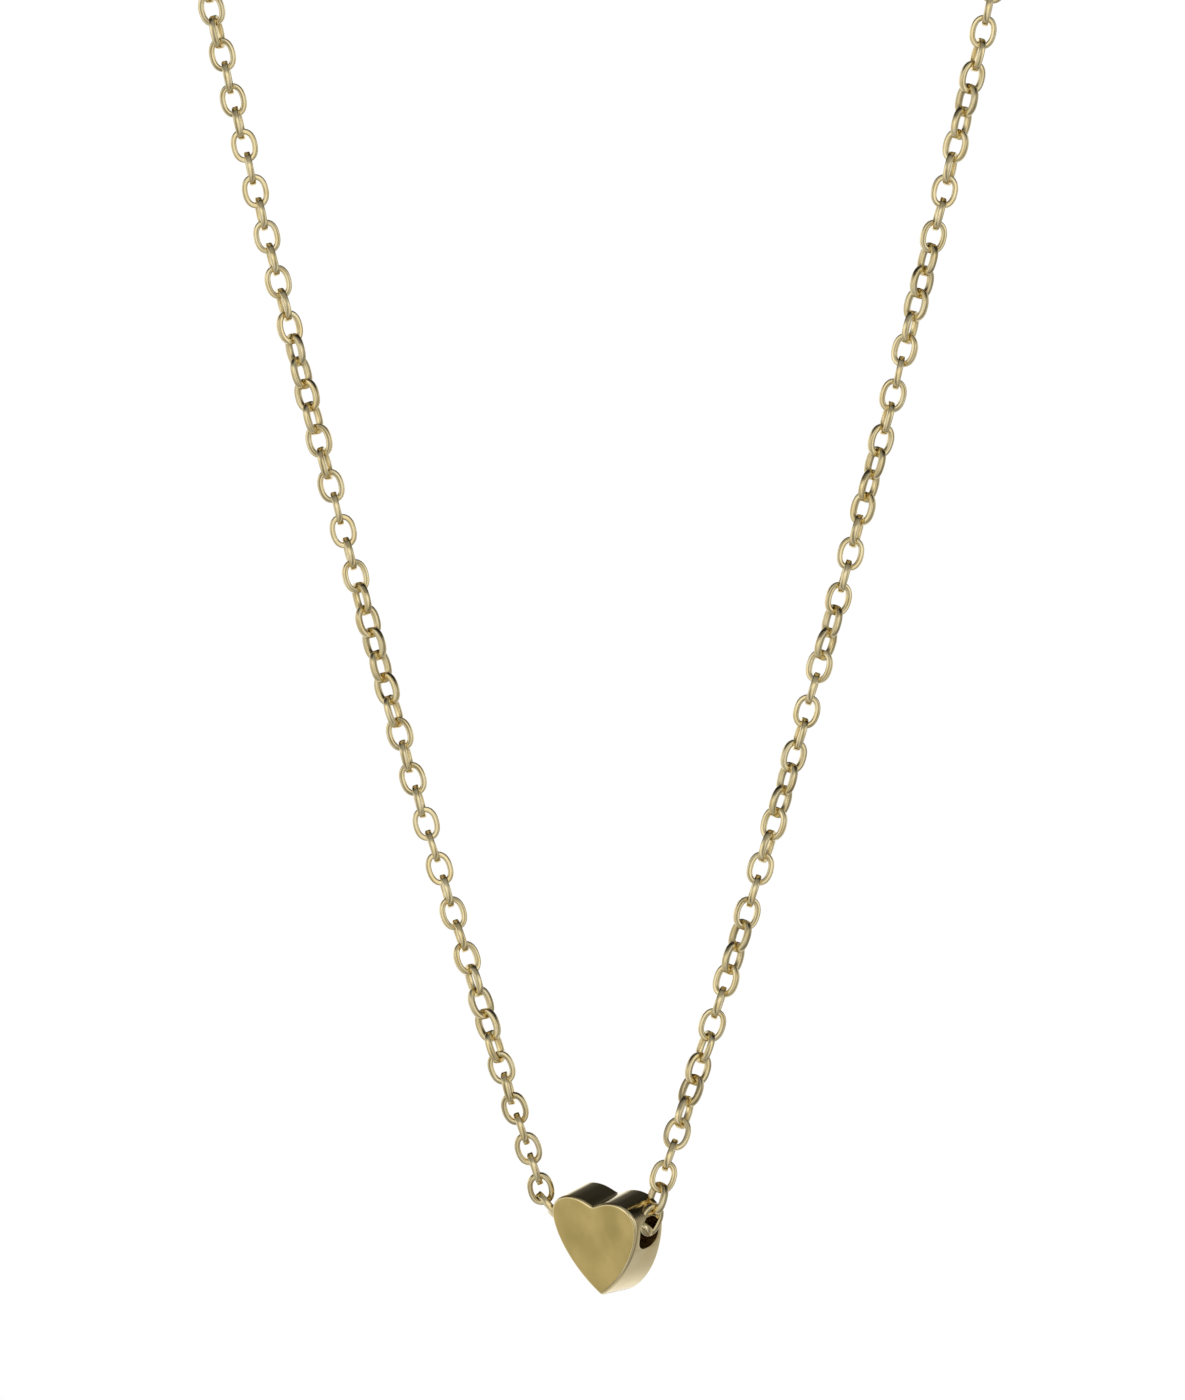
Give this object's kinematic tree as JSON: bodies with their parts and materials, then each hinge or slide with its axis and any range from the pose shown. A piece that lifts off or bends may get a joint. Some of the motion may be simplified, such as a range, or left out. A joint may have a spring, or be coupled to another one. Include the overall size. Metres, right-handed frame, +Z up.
{
  "type": "pendant necklace",
  "caption": "Pendant necklace: a thick heart bead threaded side to side on a flat-wire cable chain, hanging as a long loop and closed by a lobster clasp",
  "frame": {"origin": "where the loop rests over the nape or a display hook: the inside of the loop at the middle of its top", "axes": "+Z up, against the hang of the pendant; +X to the viewer's right; -Y towards the viewer, out of the front of the heart; the loop hangs in the XZ plane"},
  "size_m": [0.079, 0.0083, 0.1829],
  "materials": {
    "chain": "bright, gold coloured",
    "bead": "satin faces with polished edges, gold coloured",
    "clasp": "polished, gold coloured"
  },
  "bodies": {
    "nape": {"left_nape_run_1": "chain", "left_nape_run_2": "chain", "left_nape_run_3": "chain", "right_nape_run_1": "chain", "right_nape_run_2": "chain", "right_nape_run_3": "chain", "clasp_claw": "clasp", "clasp_pin": "clasp", "jump_ring": "clasp", "end_ring": "clasp"},
    "left_level_1": {"left_run_1": "chain"},
    "left_level_2": {"left_run_2": "chain"},
    "left_level_3": {"left_run_3": "chain"},
    "left_level_4": {"left_run_4": "chain"},
    "left_level_5": {"left_run_5": "chain"},
    "left_level_6": {"left_run_6": "chain"},
    "left_level_7": {"left_run_7": "chain"},
    "left_level_8": {"left_run_8": "chain"},
    "left_level_9": {"left_run_9": "chain"},
    "right_level_1": {"right_run_1": "chain"},
    "right_level_2": {"right_run_2": "chain"},
    "right_level_3": {"right_run_3": "chain"},
    "right_level_4": {"right_run_4": "chain"},
    "right_level_5": {"right_run_5": "chain"},
    "right_level_6": {"right_run_6": "chain"},
    "right_level_7": {"right_run_7": "chain"},
    "right_level_8": {"right_run_8": "chain"},
    "right_level_9": {"right_run_9": "chain"},
    "channel_chain": {"channel_link_1": "chain", "channel_link_2": "chain", "channel_link_3": "chain", "channel_link_4": "chain", "channel_link_5": "chain"},
    "heart": {"heart_bead": "bead"},
    "lever": {"clasp_lever": "clasp"}
  },
  "joints": [
    {"name": "left_hinge_1", "type": "hinge", "parent": "nape", "child": "left_level_1", "pos_m": [-0.03712, 0, -0.04801], "axis": [1, 0, 0], "range_deg": [-20, 20]},
    {"name": "left_hinge_2", "type": "hinge", "parent": "left_level_1", "child": "left_level_2", "pos_m": [-0.03408, 0, -0.06208], "axis": [1, 0, 0], "range_deg": [-20, 20]},
    {"name": "left_hinge_3", "type": "hinge", "parent": "left_level_2", "child": "left_level_3", "pos_m": [-0.03089, 0, -0.07613], "axis": [1, 0, 0], "range_deg": [-20, 20]},
    {"name": "left_hinge_4", "type": "hinge", "parent": "left_level_3", "child": "left_level_4", "pos_m": [-0.02757, 0, -0.09014], "axis": [1, 0, 0], "range_deg": [-20, 20]},
    {"name": "left_hinge_5", "type": "hinge", "parent": "left_level_4", "child": "left_level_5", "pos_m": [-0.0241, 0, -0.10411], "axis": [1, 0, 0], "range_deg": [-20, 20]},
    {"name": "left_hinge_6", "type": "hinge", "parent": "left_level_5", "child": "left_level_6", "pos_m": [-0.02046, 0, -0.11804], "axis": [1, 0, 0], "range_deg": [-20, 20]},
    {"name": "left_hinge_7", "type": "hinge", "parent": "left_level_6", "child": "left_level_7", "pos_m": [-0.01663, 0, -0.13193], "axis": [1, 0, 0], "range_deg": [-20, 20]},
    {"name": "left_hinge_8", "type": "hinge", "parent": "left_level_7", "child": "left_level_8", "pos_m": [-0.0126, 0, -0.14575], "axis": [1, 0, 0], "range_deg": [-20, 20]},
    {"name": "left_hinge_9", "type": "hinge", "parent": "left_level_8", "child": "left_level_9", "pos_m": [-0.00835, 0, -0.15951], "axis": [1, 0, 0], "range_deg": [-20, 20]},
    {"name": "right_hinge_1", "type": "hinge", "parent": "nape", "child": "right_level_1", "pos_m": [0.03712, 0, -0.04801], "axis": [1, 0, 0], "range_deg": [-20, 20]},
    {"name": "right_hinge_2", "type": "hinge", "parent": "right_level_1", "child": "right_level_2", "pos_m": [0.03408, 0, -0.06208], "axis": [1, 0, 0], "range_deg": [-20, 20]},
    {"name": "right_hinge_3", "type": "hinge", "parent": "right_level_2", "child": "right_level_3", "pos_m": [0.03089, 0, -0.07613], "axis": [1, 0, 0], "range_deg": [-20, 20]},
    {"name": "right_hinge_4", "type": "hinge", "parent": "right_level_3", "child": "right_level_4", "pos_m": [0.02757, 0, -0.09014], "axis": [1, 0, 0], "range_deg": [-20, 20]},
    {"name": "right_hinge_5", "type": "hinge", "parent": "right_level_4", "child": "right_level_5", "pos_m": [0.0241, 0, -0.10411], "axis": [1, 0, 0], "range_deg": [-20, 20]},
    {"name": "right_hinge_6", "type": "hinge", "parent": "right_level_5", "child": "right_level_6", "pos_m": [0.02046, 0, -0.11804], "axis": [1, 0, 0], "range_deg": [-20, 20]},
    {"name": "right_hinge_7", "type": "hinge", "parent": "right_level_6", "child": "right_level_7", "pos_m": [0.01663, 0, -0.13193], "axis": [1, 0, 0], "range_deg": [-20, 20]},
    {"name": "right_hinge_8", "type": "hinge", "parent": "right_level_7", "child": "right_level_8", "pos_m": [0.0126, 0, -0.14575], "axis": [1, 0, 0], "range_deg": [-20, 20]},
    {"name": "right_hinge_9", "type": "hinge", "parent": "right_level_8", "child": "right_level_9", "pos_m": [0.00835, 0, -0.15951], "axis": [1, 0, 0], "range_deg": [-20, 20]},
    {"name": "pendant_swing", "type": "hinge", "parent": "left_level_9", "child": "channel_chain", "pos_m": [-0.00274, 0.00261, -0.17347], "axis": [0.7835, -0.6078, -0.1292], "range_deg": [-25, 25]},
    {"name": "heart_slide", "type": "slide", "parent": "channel_chain", "child": "heart", "axis": [0.7835, -0.6078, -0.1292], "range_m": [-0.0003, 0.0003]},
    {"name": "clasp_lever_hinge", "type": "hinge", "parent": "nape", "child": "lever", "pos_m": [-0.0032, 0, 0.00112], "axis": [0, 1, 0], "range_deg": [0, 13], "stiffness_Nm_per_rad": 0.0008, "springref_deg": -11.46}
  ],
  "couplings": [
    {"joint": "right_hinge_1", "follows": "left_hinge_1", "ratio": 1},
    {"joint": "right_hinge_2", "follows": "left_hinge_2", "ratio": 1},
    {"joint": "right_hinge_3", "follows": "left_hinge_3", "ratio": 1},
    {"joint": "right_hinge_4", "follows": "left_hinge_4", "ratio": 1},
    {"joint": "right_hinge_5", "follows": "left_hinge_5", "ratio": 1},
    {"joint": "right_hinge_6", "follows": "left_hinge_6", "ratio": 1},
    {"joint": "right_hinge_7", "follows": "left_hinge_7", "ratio": 1},
    {"joint": "right_hinge_8", "follows": "left_hinge_8", "ratio": 1},
    {"joint": "right_hinge_9", "follows": "left_hinge_9", "ratio": 1}
  ]
}
